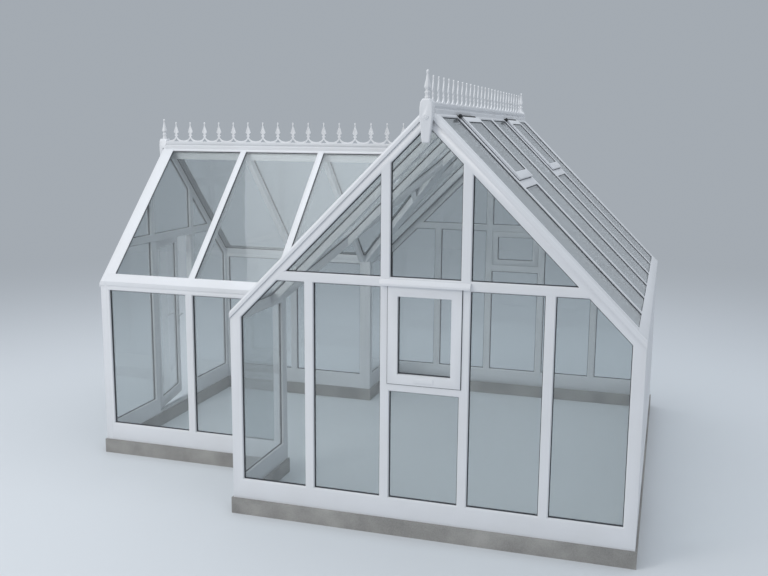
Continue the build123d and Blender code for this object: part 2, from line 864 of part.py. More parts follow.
def capping_skirt(plane, length):
    """The part of the capping that lies between the ends of the bar caps."""
    with BuildPart() as skirt:
        with BuildSketch(plane):
            face_of([
                (-capping_half, -capping_half * slope),
                (0, 0),
                (capping_half, -capping_half * slope),
                (capping_half, -capping_half * slope - cap_drop),
                (0, -cap_drop),
                (-capping_half, -capping_half * slope - cap_drop),
            ])
        extrude(amount=length)
    return skirt.part


def capping_crown(plane, length):
    """The box on top of the skirt: a lip round its top, a neck under the lip and wider shoulders."""
    lip_low = capping_rise - lip_height
    shoulder_top = lip_low - neck_height
    right = [
        (shoulder_half, -shoulder_half * slope),
        (shoulder_half, shoulder_top - (shoulder_half - neck_half) / 2),
        (neck_half, shoulder_top),
        (neck_half, lip_low),
        (lip_half, lip_low),
        (lip_half, capping_rise),
    ]
    left = [(-x, z) for x, z in reversed(right)]
    with BuildPart() as crown:
        with BuildSketch(plane):
            face_of([(0, 0)] + right + left)
        extrude(amount=length)
    return crown.part


def main_ridge_plane(start):
    """The plane across the main ridge at a distance from the front."""
    return Plane(origin=(0, start, main_ridge), x_dir=(-1, 0, 0), z_dir=(0, 1, 0))


def wing_ridge_plane(start):
    """The plane across the wing's ridge at a distance from the wing's end."""
    return Plane(origin=(wing_end + start, wing_middle, wing_ridge), x_dir=(0, 1, 0), z_dir=(1, 0, 0))


with BuildPart() as main_ridge_piece:
    add(ridge_beam(main_ridge_plane(profile_depth), main_length - 2 * profile_depth))
    add(capping_skirt(main_ridge_plane(verge_cover), main_length - 2 * verge_cover))
    add(capping_crown(main_ridge_plane(pendant_back), main_length - 2 * pendant_back))
save(main_ridge_piece.part, "main_ridge")

left_slope_plane = Plane(origin=(-half_width, 0, eave), x_dir=(0, 1, 0), z_dir=(-roof_normal_x, 0, lean))
wing_run = wing_reach + wing_half
with BuildPart() as wing_ridge_low:
    add(ridge_beam(wing_ridge_plane(profile_depth), wing_run))
    add(capping_skirt(wing_ridge_plane(verge_cover), wing_run))
    add(valley_wedge(-valley_shift), mode=Mode.INTERSECT)
with BuildPart() as wing_ridge_high:
    add(capping_crown(wing_ridge_plane(pendant_back), wing_run + wing_half))
    split(bisect_by=left_slope_plane, keep=Keep.TOP)
with BuildPart() as wing_ridge_piece:
    add(wing_ridge_low.part)
    add(wing_ridge_high.part)
save(wing_ridge_piece.part, "wing_ridge")

# Cresting: a row of spear points over scallops, cut from one flat strip along each ridge
spear = [
    (9, 58),
    (21, 70),
    (10, 89),
    (31, 108),
    (22, 134),
    (14, 157),
    (6, 178),
    (4, 195),
    (8, 207),
    (8, 217),
    (3, 225),
]
foot_hole = [(13, 22), (foot_half, 0)]
hole_top = 40
scallop_angles = (0, 22.5, 45, 67.5)


def scallop_height(distance, pitch):
    """Height of a scallop's upper edge at a distance from its lowest point, along an ellipse."""
    share = distance / (pitch / 2 - scallop_leg)
    return scallop_foot + scallop_rise * (1 - sqrt(1 - share**2))


def crest_unit(pitch):
    """Outline of one spear point with half a scallop on each side, round its own middle."""
    reaches = [(pitch / 2 - scallop_leg) * sin(radians(angle)) for angle in scallop_angles]
    scallop = [(pitch / 2 - reach, scallop_height(reach, pitch)) for reach in reaches]
    right = foot_hole + [(pitch / 2, 0)] + scallop + spear
    return [(0, hole_top)] + right + [(-x, z) for x, z in reversed(right)]


def cresting(plane, first, pitch, count):
    """A strip of spear points from the first one on, with a piece of scallop back to the pendant's block."""
    first_low = first - pitch / 2
    start = pendant_back
    with BuildPart() as strip:
        with BuildSketch(plane):
            for k in range(count):
                with Locations((first + k * pitch, 0)):
                    face_of(crest_unit(pitch))
            face_of([
                (start, 0),
                (first_low, 0),
                (first_low, scallop_foot),
                (start, scallop_height(first_low - start, pitch)),
            ])
        extrude(amount=spike_thickness / 2, both=True)
    return strip.part


main_crown = main_ridge + capping_rise
wing_crown = wing_ridge + capping_rise
crest_length = main_length + 2 * finial_forward
main_gaps = round(crest_length / spike_pitch)
main_pitch = crest_length / main_gaps
with BuildPart() as main_cresting:
    crest_plane = Plane(origin=(0, 0, main_crown), x_dir=(0, 1, 0), z_dir=(1, 0, 0))
    add(cresting(crest_plane, main_pitch - finial_forward, main_pitch, main_gaps // 2))
    mirror(about=house_middle_plane)
save(main_cresting.part, "main_cresting")
wing_crest_plane = Plane(origin=(wing_end, wing_middle, wing_crown), x_dir=(1, 0, 0), z_dir=(0, -1, 0))
wing_spikes = int((wing_run - wing_first_spike) / wing_spike_pitch + 0.5)
save(cresting(wing_crest_plane, wing_first_spike, wing_spike_pitch, wing_spikes), "wing_cresting")

# Finials: eight-sided turned points, each given by its heights and widths across the flats
finial_rings = [
    (0, 44),
    (14, 44),
    (22, 36),
    (38, 36),
    (46, 45),
    (54, 45),
    (64, 31),
    (74, 31),
    (90, 53),
    (106, 49),
    (150, 30),
    (197, 16),
    (208, 23),
    (220, 23),
    (229, 8),
]
finial_sides = 8


def finial(place):
    """One finial that stands on the top of a pendant's block."""
    with BuildPart() as point:
        for height, width in finial_rings:
            with BuildSketch(Plane.XY.offset(place.Z + height)):
                with Locations((place.X, place.Y)):
                    RegularPolygon(
                        width / 2, finial_sides, major_radius=False, rotation=180 / finial_sides
                    )
        loft(ruled=True)
    return point.part


with BuildPart() as finials:
    add(finial(Vector(0, -finial_forward, main_crown + pendant_top)))
    add(finial(Vector(0, main_length + finial_forward, main_crown + pendant_top)))
    add(finial(Vector(wing_end - finial_forward, wing_middle, wing_crown + pendant_top)))
save(finials.part, "finials")


# Pendants: a tapered plate on each gable's apex, whose head reaches back over the end of the ridge
pendant_half = pendant_width / 2
pendant_head = [(pendant_half, -45), (50, 3), (31, pendant_top)]
pendant_tail = [(33, -pendant_drop), (pendant_half, -100)]
rosette_sides = 16
boss_sides = 12


def pendant(plane):
    """A pendant on a plane whose origin is the crown of the ridge, at the verge's outer face."""
    outline = pendant_tail + pendant_head
    head = [(pendant_half, -capping_rise - pendant_half * slope)] + pendant_head
    with BuildPart() as plate:
        with BuildSketch(plane):
            face_of(outline + [(-x, z) for x, z in reversed(outline)])
        extrude(amount=pendant_proud)
        front_face = plate.faces().sort_by(Axis(plane.origin, plane.z_dir))[-1]
        chamfer(front_face.edges(), length=bead)
        with BuildSketch(plane):
            face_of([(0, -capping_rise)] + head + [(-x, z) for x, z in reversed(head)])
        extrude(amount=-trim_proud - pendant_back)
        with BuildSketch(plane.offset(pendant_proud)):
            with Locations((0, -rosette_drop)):
                RegularPolygon(rosette_radius, rosette_sides)
        extrude(amount=bead / 2)
        with BuildSketch(plane.offset(pendant_proud)):
            with Locations((0, -rosette_drop)):
                RegularPolygon(rosette_radius / 2, boss_sides)
        extrude(amount=bead)
    return plate.part


with BuildPart() as pendants:
    add(pendant(Plane(origin=(0, -trim_proud, main_crown), x_dir=(1, 0, 0), z_dir=(0, -1, 0))))
    mirror(about=house_middle_plane)
    wing_verge_face = (wing_end - trim_proud, wing_middle, wing_crown)
    add(pendant(Plane(origin=wing_verge_face, x_dir=(0, -1, 0), z_dir=(-1, 0, 0))))
save(pendants.part, "pendants")

# Door: it opens outwards on the jamb nearer to the front, and stands ajar
doorway_width = doorway_high - doorway_low
hinge_y = wing_rear - doorway_high + door_hinge_gap / 2
door_angle = radians(door_ajar)
door_plane = Plane(
    origin=(wing_end - hinge_offset, hinge_y, base),
    x_dir=(-sin(door_angle), cos(door_angle), 0),
    z_dir=(cos(door_angle), sin(door_angle), 0),
)
door_left = door_hinge_gap / 2
door_right = doorway_width - door_hinge_gap / 2 - door_free_gap
door_low = threshold_height + door_foot_gap
door_high = transom_low - door_head_gap
door_pane = (
    (door_left + door_stile, door_low + door_bottom_rail),
    (door_right - door_stile, door_high - door_stile),
)
door_glass_face = hinge_offset + (door_depth - glass_thickness) / 2
with BuildPart() as door_leaf:
    with BuildSketch(door_plane.offset(hinge_offset)):
        rectangle_between((door_left, door_low), (door_right, door_high))
        rectangle_between(*door_pane, mode=Mode.SUBTRACT)
    extrude(amount=door_depth)
    with BuildSketch(door_plane.offset(door_glass_face)):
        rectangle_between(*grown(door_pane, glass_bite + glass_room))
    extrude(amount=glass_thickness, mode=Mode.SUBTRACT)
save(door_leaf.part, "door_leaf")
with BuildPart() as door_glass:
    with BuildSketch(door_plane.offset(door_glass_face)):
        rectangle_between(*grown(door_pane, glass_bite))
    extrude(amount=glass_thickness)
save(door_glass.part, "door_glass")

# Hinges: a knuckle on the jamb under a knuckle on the leaf, at three levels
knuckle_gap = 0.3
knuckle = (hinge_height - knuckle_gap) / 2
jamb_plane = Plane(origin=(wing_end - hinge_offset, hinge_y, base), x_dir=(0, 1, 0), z_dir=(1, 0, 0))
with BuildPart() as jamb_hinges:
    for level in hinge_levels:
        with BuildSketch(Plane.XY.offset(base + level)):
            with Locations((wing_end - hinge_offset, hinge_y)):
                Circle(hinge_radius)
        extrude(amount=knuckle)
        with BuildSketch(jamb_plane.offset(hinge_offset)):
            rectangle_between((-hinge_leaf, level), (-door_left, level + knuckle))
        extrude(amount=-hinge_plate)
        with BuildSketch(jamb_plane.offset(hinge_offset - hinge_plate)):
            rectangle_between((-hinge_radius, level), (-door_left, level + knuckle))
        extrude(amount=-hinge_plate)
save(jamb_hinges.part, "door_hinges")
with BuildPart() as leaf_hinges:
    for level in hinge_levels:
        with BuildSketch(Plane.XY.offset(base + level + knuckle + knuckle_gap)):
            with Locations((wing_end - hinge_offset, hinge_y)):
                Circle(hinge_radius)
        extrude(amount=knuckle)
        high = level + hinge_height
        with BuildSketch(door_plane.offset(hinge_offset)):
            rectangle_between((door_left, high - knuckle), (hinge_leaf, high))
        extrude(amount=-hinge_plate)
        with BuildSketch(door_plane.offset(hinge_offset - hinge_plate)):
            rectangle_between((0, high - knuckle), (hinge_radius, high))
        extrude(amount=-hinge_plate)
save(leaf_hinges.part, "door_hinge_leaves")

# Handle: a lever on a long plate with cut corners, on both faces of the free stile
plate_wide = 30
plate_tall = 220
plate_cut = 8
handle_plate_thickness = 10
spindle_up = 40
spindle_radius = 10
spindle_sides = 12
lever_length = 125
lever_thick = 20
lever_reach = 45
lever_cut = 6
handle_x = door_right - handle_backset


def cut_rectangle(low, high, cut):
    """Outline of a rectangle with its corners cut off."""
    x0, y0 = low
    x1, y1 = high
    return [
        (x0 + cut, y0),
        (x1 - cut, y0),
        (x1, y0 + cut),
        (x1, y1 - cut),
        (x1 - cut, y1),
        (x0 + cut, y1),
        (x0, y1 - cut),
        (x0, y0 + cut),
    ]


plate_low = (handle_x - plate_wide / 2, handle_level - plate_tall / 2)
plate_high = (handle_x + plate_wide / 2, handle_level + plate_tall / 2)
lever_low = (handle_x + lever_thick / 2 - lever_length, handle_level + spindle_up - lever_thick / 2)
lever_high = (handle_x + lever_thick / 2, handle_level + spindle_up + lever_thick / 2)
with BuildPart() as door_handles:
    for face_at, outward in ((hinge_offset, -1), (hinge_offset + door_depth, 1)):
        with BuildSketch(door_plane.offset(face_at)):
            face_of(cut_rectangle(plate_low, plate_high, plate_cut))
        extrude(amount=outward * handle_plate_thickness)
        with BuildSketch(door_plane.offset(face_at)):
            with Locations((handle_x, handle_level + spindle_up)):
                RegularPolygon(spindle_radius, spindle_sides)
        extrude(amount=outward * lever_reach)
        with BuildSketch(door_plane.offset(face_at + outward * (lever_reach - lever_thick / 2))):
            face_of(cut_rectangle(lever_low, lever_high, lever_cut))
        extrude(amount=outward * lever_thick)
save(door_handles.part, "door_handles")

# Threshold: a low bar across the doorway, with a sloping outer edge
threshold_nose = 14
threshold_fall = 12
threshold_plane = Plane(origin=(wing_end, wing_rear - doorway_high, base), x_dir=(1, 0, 0), z_dir=(0, -1, 0))
with BuildPart() as threshold:
    with BuildSketch(threshold_plane):
        face_of([
            (0, 0),
            (profile_depth, 0),
            (profile_depth, threshold_height),
            (threshold_nose, threshold_height),
            (0, threshold_height - threshold_fall),
        ])
    extrude(amount=-doorway_width)
save(threshold.part, "door_threshold")
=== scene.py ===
# %% [markdown]
# A white glasshouse with a T-shaped plan: a main house with a steep roof, and a lower wing on its left
# side whose end wall holds the door. The solids come ready made from the CAD model. This script gives
# them their finishes and adds what is too fine for the solids: rounded edges, the dark rubber lines round
# each pane, the spacers inside the sealed glass, seals, the vents' hinges, screws, the lock and the rims of
# the rosettes. Round the gable windows and the vents the dark seals also stand for the shade in the gap
# round each sash, so they are partly painted shade. Gaskets, spacers, seals and the vents' hinges are
# worked out from the solids that they sit on. The small parts of the door and the rosettes' rims are placed
# by numbers, in metres.

# %% Load the imported model
from math import cos, pi, radians, sin, sqrt

import bmesh
import bpy
import numpy as np
from mathutils import Matrix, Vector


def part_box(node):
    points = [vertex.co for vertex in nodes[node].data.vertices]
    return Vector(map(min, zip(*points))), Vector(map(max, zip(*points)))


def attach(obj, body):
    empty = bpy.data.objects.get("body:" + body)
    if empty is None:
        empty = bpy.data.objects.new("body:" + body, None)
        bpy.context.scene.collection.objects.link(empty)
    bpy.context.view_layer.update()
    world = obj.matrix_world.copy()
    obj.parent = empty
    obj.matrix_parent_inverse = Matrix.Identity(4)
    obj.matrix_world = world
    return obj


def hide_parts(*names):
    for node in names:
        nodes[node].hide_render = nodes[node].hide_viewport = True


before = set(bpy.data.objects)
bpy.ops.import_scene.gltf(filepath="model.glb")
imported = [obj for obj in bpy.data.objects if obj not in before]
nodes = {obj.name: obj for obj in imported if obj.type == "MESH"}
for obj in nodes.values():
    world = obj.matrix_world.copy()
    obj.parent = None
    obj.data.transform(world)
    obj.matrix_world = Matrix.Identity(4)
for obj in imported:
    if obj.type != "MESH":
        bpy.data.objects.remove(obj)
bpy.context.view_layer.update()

# %% [markdown]
# The photograph was taken from about 3.5 metres up, in front of the right-hand corner of the near gable.
# The camera's place, its three turns and its lens were found by matching 74 points of the building, so
# they are written here as plain numbers. A camera looks along its own -Z with +Y up, so its matrix has the
# right-hand direction, the up direction and the reversed line of sight as columns.

# %% Camera
scene = bpy.context.scene
scene.view_settings.view_transform = "Standard"


def stand(piece, right, up, back, place):
    """Puts an object into the scene: its three axes and its place are the columns of its matrix."""
    columns = np.identity(4)
    columns[:3, 0], columns[:3, 1], columns[:3, 2], columns[:3, 3] = right, up, back, place
    piece.matrix_world = Matrix(columns.tolist())
    scene.collection.objects.link(piece)


camera_place = np.array([1.9032, -7.2962, 3.5113])
yaw, pitch, roll = 0.3003, -0.1700, 0.0077
focal_pixels, photo_width, sensor_width = 918.18, 768, 36.0
forward = np.array([sin(-yaw) * cos(pitch), cos(yaw) * cos(pitch), sin(pitch)])
level_right = np.cross(forward, (0, 0, 1))
level_right /= np.linalg.norm(level_right)
level_up = np.cross(level_right, forward)
rolled_right = level_right * cos(roll) + level_up * sin(roll)
rolled_up = level_up * cos(roll) - level_right * sin(roll)
camera_data = bpy.data.cameras.new("camera")
camera_data.sensor_width = sensor_width
camera_data.lens = focal_pixels * sensor_width / photo_width
camera = bpy.data.objects.new("camera", camera_data)
stand(camera, rolled_right, rolled_up, -forward, camera_place)
bpy.context.scene.camera = camera
print("lens in millimetres:", round(camera_data.lens, 2))

# %% [markdown]
# Materials, the world and the floor are all node trees. Five short helpers keep them readable: one empties
# a tree, one adds a node with its inputs set, one does arithmetic on sockets, one mixes two shaders, and
# one completes a colour.

# %% Helpers for node trees


def fresh(tree, keep):
    """Empties a node tree but for its output node, which it returns."""
    for node in [n for n in tree.nodes if n.bl_idname != keep]:
        tree.nodes.remove(node)
    return next(n for n in tree.nodes if n.bl_idname == keep)


def put(tree, kind, **values):
    """Adds a node and sets the inputs named, with underscores for spaces."""
    node = tree.nodes.new(kind)
    for name, value in values.items():
        node.inputs[name.replace("_", " ")].default_value = value
    return node


def calc(tree, operation, first, second=None):
    """A Math node on one or two values, each a number or a socket; gives its output."""
    node = tree.nodes.new("ShaderNodeMath")
    node.operation = operation
    for socket, value in zip(node.inputs, (first, second)):
        if value is None:
            continue
        if isinstance(value, (int, float)):
            socket.default_value = value
        else:
            tree.links.new(value, socket)
    return node.outputs[0]


def mixed(tree, share, first, second, output):
    """Mixes two shaders by a share, and wires the result to the output node."""
    mix = tree.nodes.new("ShaderNodeMixShader")
    for socket, value in zip(mix.inputs, (share, first, second)):
        tree.links.new(value, socket)
    tree.links.new(mix.outputs[0], output.inputs[0])


def rgba(colour):
    """A colour with full alpha."""
    return (*colour, 1.0)


print("helpers for node trees are ready")

# %% [markdown]
# White frames need a background that is pale and yet a little darker than they are, or their edges
# vanish. The world has one plain colour for what the camera, reflections and glass see, and another
# colour and strength for the light it sheds. A Light Path node tells the two kinds of ray apart.

# %% World
backdrop = (0.37, 0.405, 0.445)
daylight = (0.88, 0.93, 1.0)
world_strength = 0.62
world = bpy.data.worlds.new("studio")
scene.world = world
world.use_nodes = True
tree = world.node_tree
output = fresh(tree, "ShaderNodeOutputWorld")
shed = put(tree, "ShaderNodeBackground", Color=rgba(daylight), Strength=world_strength)
seen = put(tree, "ShaderNodeBackground", Color=rgba(backdrop), Strength=1.0)
path = tree.nodes.new("ShaderNodeLightPath")
direct = calc(tree, "MAXIMUM", path.outputs["Is Camera Ray"], path.outputs["Is Glossy Ray"])
either = calc(tree, "MAXIMUM", direct, path.outputs["Is Transmission Ray"])
mixed(tree, either, shed.outputs[0], seen.outputs[0], output)
print("the world sheds", daylight, "and shows", backdrop)

# %% [markdown]
# The floor is a wide disc on a polar grid: the point at radius r and angle a lies at (r cos a, r sin a).
# Its pale paint fades into the colour of the background between 6.5 and 20 metres out, so that no horizon
# line crosses the picture, and the shadow near the house stays.

# %% Floor


def mesh_piece(name, points, faces):
    """A mesh object from an array of points and a list of faces."""
    mesh = bpy.data.meshes.new(name)
    mesh.from_pydata(np.asarray(points, float).tolist(), [], [list(map(int, face)) for face in faces])
    mesh.update()
    piece = bpy.data.objects.new(name, mesh)
    scene.collection.objects.link(piece)
    return piece


def disc(rings, sides):
    """A disc: the point at radius r and angle a lies at (r cos a, r sin a), on a grid of rings and sides."""
    angle = np.arange(sides) * 2 * pi / sides
    grid = np.stack([np.outer(rings, np.cos(angle)), np.outer(rings, np.sin(angle))], -1)
    points = np.concatenate([grid, np.zeros(grid.shape[:2] + (1,))], -1).reshape(-1, 3)
    i, k = np.meshgrid(np.arange(1, len(rings) - 1), np.arange(sides), indexing="ij")
    after = (k + 1) % sides
    quads = np.stack([i * sides + k, (i + 1) * sides + k, (i + 1) * sides + after, i * sides + after], -1)
    around = np.arange(sides)
    inner = np.stack([np.zeros(sides, int), sides + around, sides + (around + 1) % sides], -1)
    return points, quads.reshape(-1, 4).tolist() + inner.tolist()


floor_rings, floor_sides = np.array([0.0, 4.0, 8.0, 14.0, 24.0, 60.0]), 96
floor_colour = (0.70, 0.73, 0.76)
fade_start, fade_end = 6.5, 20.0
floor = mesh_piece("floor", *disc(floor_rings, floor_sides))
floor_paint = bpy.data.materials.new("floor")
floor_paint.use_nodes = True
tree = floor_paint.node_tree
output = fresh(tree, "ShaderNodeOutputMaterial")
matt = put(tree, "ShaderNodeBsdfDiffuse", Color=rgba(floor_colour))
glow = put(tree, "ShaderNodeEmission", Color=rgba(backdrop), Strength=1.0)
place = tree.nodes.new("ShaderNodeTexCoord")
reach = tree.nodes.new("ShaderNodeVectorMath")
reach.operation = "LENGTH"
tree.links.new(place.outputs["Object"], reach.inputs[0])
fade = put(tree, "ShaderNodeMapRange", From_Min=fade_start, From_Max=fade_end)
fade.interpolation_type = "SMOOTHSTEP"
tree.links.new(reach.outputs["Value"], fade.inputs["Value"])
mixed(tree, fade.outputs["Result"], matt.outputs[0], glow.outputs[0], output)
floor.data.materials.append(floor_paint)
print("floor:", len(floor.data.polygons), "faces")

# %% [markdown]
# In the photograph the left-hand faces are the palest and the right-hand ones the darkest. A wide lamp
# overhead stands for the sky, and a smaller one at the front left gives that difference and a soft shadow.

# %% Lamps
house_middle = (-1.0, 2.4, 1.5)
off_sight = (0, 1, 0.001)  # a direction that no lamp looks along
lamps = {  # place, width in metres, power in watts, colour
    "sky": ((-1.0, 2.0, 12.0), 12.0, 560.0, (0.93, 0.97, 1.0)),
    "key": ((-9.0, -9.0, 8.0), 6.0, 520.0, (1.0, 0.97, 0.93)),
}
for name, (place, width, power, colour) in lamps.items():
    data = bpy.data.lights.new(name, "AREA")
    data.size, data.energy, data.color = width, power, colour
    back = np.array(place, float) - np.array(house_middle, float)
    back /= np.linalg.norm(back)
    side = np.cross(off_sight, back)
    side /= np.linalg.norm(side)
    stand(bpy.data.objects.new(name, data), side, np.cross(back, side), back, place)
print("lamps:", len(lamps))

# %% [markdown]
# Every finish starts from one Principled shader and the Object coordinates, which stay put on a solid.
# Noise at different scales then varies the colour, the roughness and the bump. These helpers add a noise,
# stretch a value from one range to another, mix two colours by it, and turn it into a bump.

# %% Helpers for finishes


def finish(name):
    """A new material with one Principled shader, and the Object coordinates its patterns read."""
    made = bpy.data.materials.new(name)
    made.use_nodes = True
    tree = made.node_tree
    output = fresh(tree, "ShaderNodeOutputMaterial")
    shader = tree.nodes.new("ShaderNodeBsdfPrincipled")
    tree.links.new(shader.outputs[0], output.inputs[0])
    place = tree.nodes.new("ShaderNodeTexCoord")
    return made, tree, shader, place.outputs["Object"]


def noise(tree, place, scale, detail=3.0, stretch=(1, 1, 1)):
    """A noise value at a scale per metre, stretched along the axes."""
    mapping = put(tree, "ShaderNodeMapping", Scale=stretch)
    tree.links.new(place, mapping.inputs["Vector"])
    node = put(tree, "ShaderNodeTexNoise", Scale=scale, Detail=detail)
    tree.links.new(mapping.outputs[0], node.inputs["Vector"])
    return node.outputs["Fac"]


def ramp(tree, value, low, high, start=0.3, end=0.7):
    """Maps a value between start and end onto low to high, both numbers."""
    node = put(tree, "ShaderNodeMapRange", From_Min=start, From_Max=end, To_Min=low, To_Max=high)
    tree.links.new(value, node.inputs["Value"])
    return node.outputs["Result"]


def tint(tree, value, low, high):
    """Mixes two colours by a value."""
    node = tree.nodes.new("ShaderNodeMix")
    node.data_type = "RGBA"
    node.inputs["A"].default_value = rgba(low)
    node.inputs["B"].default_value = rgba(high)
    tree.links.new(value, node.inputs["Factor"])
    return node.outputs["Result"]


def rough_skin(tree, shader, height, depth):
    """A bump from a height value, depth metres deep."""
    bump = put(tree, "ShaderNodeBump", Strength=1.0, Distance=depth)
    tree.links.new(height, bump.inputs["Height"])
    tree.links.new(bump.outputs[0], shader.inputs["Normal"])


print("helpers for finishes are ready")

# %% [markdown]
# Window profiles of white plastic have a smooth satin skin with a very faint unevenness and fine dust that
# settles in soft patches. A large noise varies the colour by a few percent and the roughness with it, and a
# much finer one gives a bump about a tenth of a millimetre deep. The cast cresting has nearly the same
# white in a rougher and deeper coat, and the door's hinges and handles have one of finer grain.

# %% White finishes
patch_scale, patch_detail = 2.3, 5.0
dust_start, dust_end = 0.35, 0.75
satin_spread = 0.12
white_kinds = {  # clean colour, dusty colour, roughness, grain per metre, depth of the grain in metres
    "frame": ((0.80, 0.813, 0.84), (0.765, 0.775, 0.795), 0.28, 260.0, 0.00006),
    "casting": ((0.78, 0.79, 0.81), (0.71, 0.715, 0.73), 0.40, 190.0, 0.00022),
    "metal": ((0.79, 0.80, 0.82), (0.74, 0.75, 0.77), 0.32, 520.0, 0.00010),
}


def white_skin(name, colour, dusty, rough, grain, depth):
    """A white coating: colour in soft patches, roughness that follows them, and a fine bump."""
    made, tree, shader, place = finish(name)
    patches = noise(tree, place, patch_scale, patch_detail)
    dust = ramp(tree, patches, 0.0, 1.0, dust_start, dust_end)
    tree.links.new(tint(tree, dust, colour, dusty), shader.inputs["Base Color"])
    tree.links.new(ramp(tree, patches, rough, rough + satin_spread), shader.inputs["Roughness"])
    rough_skin(tree, shader, noise(tree, place, grain, detail=2.0), depth)
    return made


whites = {kind: white_skin("white_" + kind, *look) for kind, look in white_kinds.items()}
print("white finishes:", *whites)

# %% [markdown]
# Sealed glass units are clear with a slight green-grey cast. Each holds two sheets, whose four surfaces
# reflect about twice as much as one sheet does, and sheets are never quite flat, so reflections bend
# softly. The solid is one block, so a coat stands for the second sheet's reflection. The coat is rougher
# than real glass, above all because a mirror-smooth pane comes out grainy where it is seen at a low angle,
# and it looks like a breath of dew. A Light Path switch lets lamps shine through, because light that has
# to find its way through real refraction makes a noisy, dark inside. A lamp's light passes two surfaces,
# so each one tints it by the square root of the cast.

# %% Glass
glass_cast = (0.775, 0.812, 0.822)
wave_scale, wave_depth = 1.6, 0.0012
glass_sockets = {"Transmission Weight": 1.0, "Roughness": 0.0, "IOR": 1.5,
                 "Coat Weight": 1.0, "Coat Roughness": 0.3, "Coat IOR": 1.6}
clear_glass, tree, shader, place = finish("clear_glass")
shader.inputs["Base Color"].default_value = rgba(glass_cast)
for socket, value in glass_sockets.items():
    shader.inputs[socket].default_value = value
rough_skin(tree, shader, noise(tree, place, wave_scale, detail=1.0), wave_depth)
clear = put(tree, "ShaderNodeBsdfTransparent", Color=rgba(tuple(sqrt(c) for c in glass_cast)))
path = tree.nodes.new("ShaderNodeLightPath")
output = next(n for n in tree.nodes if n.bl_idname == "ShaderNodeOutputMaterial")
mixed(tree, path.outputs["Is Shadow Ray"], shader.outputs[0], clear.outputs[0], output)
print("glass cast:", glass_cast)

# %% [markdown]
# The plinth is poured concrete: blotches of damp about a third of a metre across, and grit a few
# millimetres across, are added into one value that drives both the colour and the bump.

# %% Concrete
damp, dry = (0.24, 0.235, 0.225), (0.42, 0.41, 0.39)
damp_start, dry_start = 0.35, 0.65
blotch_scale, blotch_share = 3.0, 0.65
grit_scale, grit_share = 170.0, 0.35
concrete_depth = 0.0015
concrete, tree, shader, place = finish("concrete")
blotches = calc(tree, "MULTIPLY", noise(tree, place, blotch_scale, detail=6.0), blotch_share)
grit = calc(tree, "MULTIPLY", noise(tree, place, grit_scale), grit_share)
shade = calc(tree, "ADD", blotches, grit)
patchy = tint(tree, ramp(tree, shade, 0.0, 1.0, damp_start, dry_start), damp, dry)
tree.links.new(patchy, shader.inputs["Base Color"])
shader.inputs["Roughness"].default_value = 0.9
rough_skin(tree, shader, shade, concrete_depth)
print("concrete is mixed")

# %% [markdown]
# Two metals are bare. The door's threshold and the spacers in the glass are drawn aluminium, whose fine
# lines run along the piece, so its noise is stretched along Y. Screws and the lock are brushed steel.

# %% Bare metals
brush_scale, brush_spread, skin_depth = 90.0, 0.14, 0.0001


def bare_metal(name, dull, bright, rough, stretch):
    """Brushed metal: a stretched noise varies the colour, the roughness and the bump together."""
    made, tree, shader, place = finish(name)
    lines = noise(tree, place, brush_scale, 2.0, stretch)
    shader.inputs["Metallic"].default_value = 1.0
    tree.links.new(tint(tree, lines, dull, bright), shader.inputs["Base Color"])
    tree.links.new(ramp(tree, lines, rough, rough + brush_spread), shader.inputs["Roughness"])
    rough_skin(tree, shader, lines, skin_depth)
    return made


aluminium = bare_metal("bare_aluminium", (0.60, 0.61, 0.62), (0.68, 0.69, 0.70), 0.28, (1, 0.02, 1))
steel = bare_metal("steel", (0.50, 0.50, 0.51), (0.62, 0.62, 0.63), 0.22, (1, 1, 0.1))
print("metals:", aluminium.name, steel.name)

# %% [markdown]
# Rubber gaskets are nearly black and matt, and the vents' hinges have a black powder coat. Both keep a
# faint mottle, because a single flat black reads as a hole in a picture.

# %% Black finishes
mottle_scale = 40.0


def black_skin(name, low, high, rough, grain):
    """A dark skin with a faint mottle and a fine bump."""
    made, tree, shader, place = finish(name)
    tree.links.new(tint(tree, noise(tree, place, mottle_scale), low, high), shader.inputs["Base Color"])
    shader.inputs["Roughness"].default_value = rough
    rough_skin(tree, shader, noise(tree, place, grain), skin_depth)
    return made


rubber = black_skin("rubber", (0.018, 0.022, 0.032), (0.035, 0.040, 0.050), 0.55, 400.0)
black_metal = black_skin("black_metal", (0.006, 0.007, 0.009), (0.012, 0.013, 0.016), 0.60, 220.0)
print("black finishes:", rubber.name, black_metal.name)

# %% [markdown]
# No edge of a real profile is knife sharp: an extruded or cast edge is rounded by a millimetre or two, and
# that narrow curve catches the light. The solids have sharp edges, so each white one gets a copy with
# rounded edges that stands in its place. The copy's loose triangles are merged first, flat neighbours are
# joined into whole faces, and then a Bevel modifier rounds only the edges that turn by 25 degrees or more.
# Its hardened normals keep the flat faces flat to the eye. Where two solids meet, their rounded edges
# leave the fine joint line that real frames show.

# %% Rounded copies of the white solids
edge_round = {"frame": 0.0018, "casting": 0.0010, "metal": 0.0008}
merge_distance, flat_turn, sharp_turn = 0.00001, radians(0.5), radians(25)
casting_nodes = ("main_cresting", "wing_cresting", "finials")
metal_nodes = ("door_handles",)
plain_nodes = ("door_hinges", "door_hinge_leaves", "door_threshold")
door_nodes = ("door_leaf", "door_glass", "door_hinge_leaves", "door_handles")


def body_for(name):
    """The body that a solid belongs to."""
    return "door" if name in door_nodes else "house"


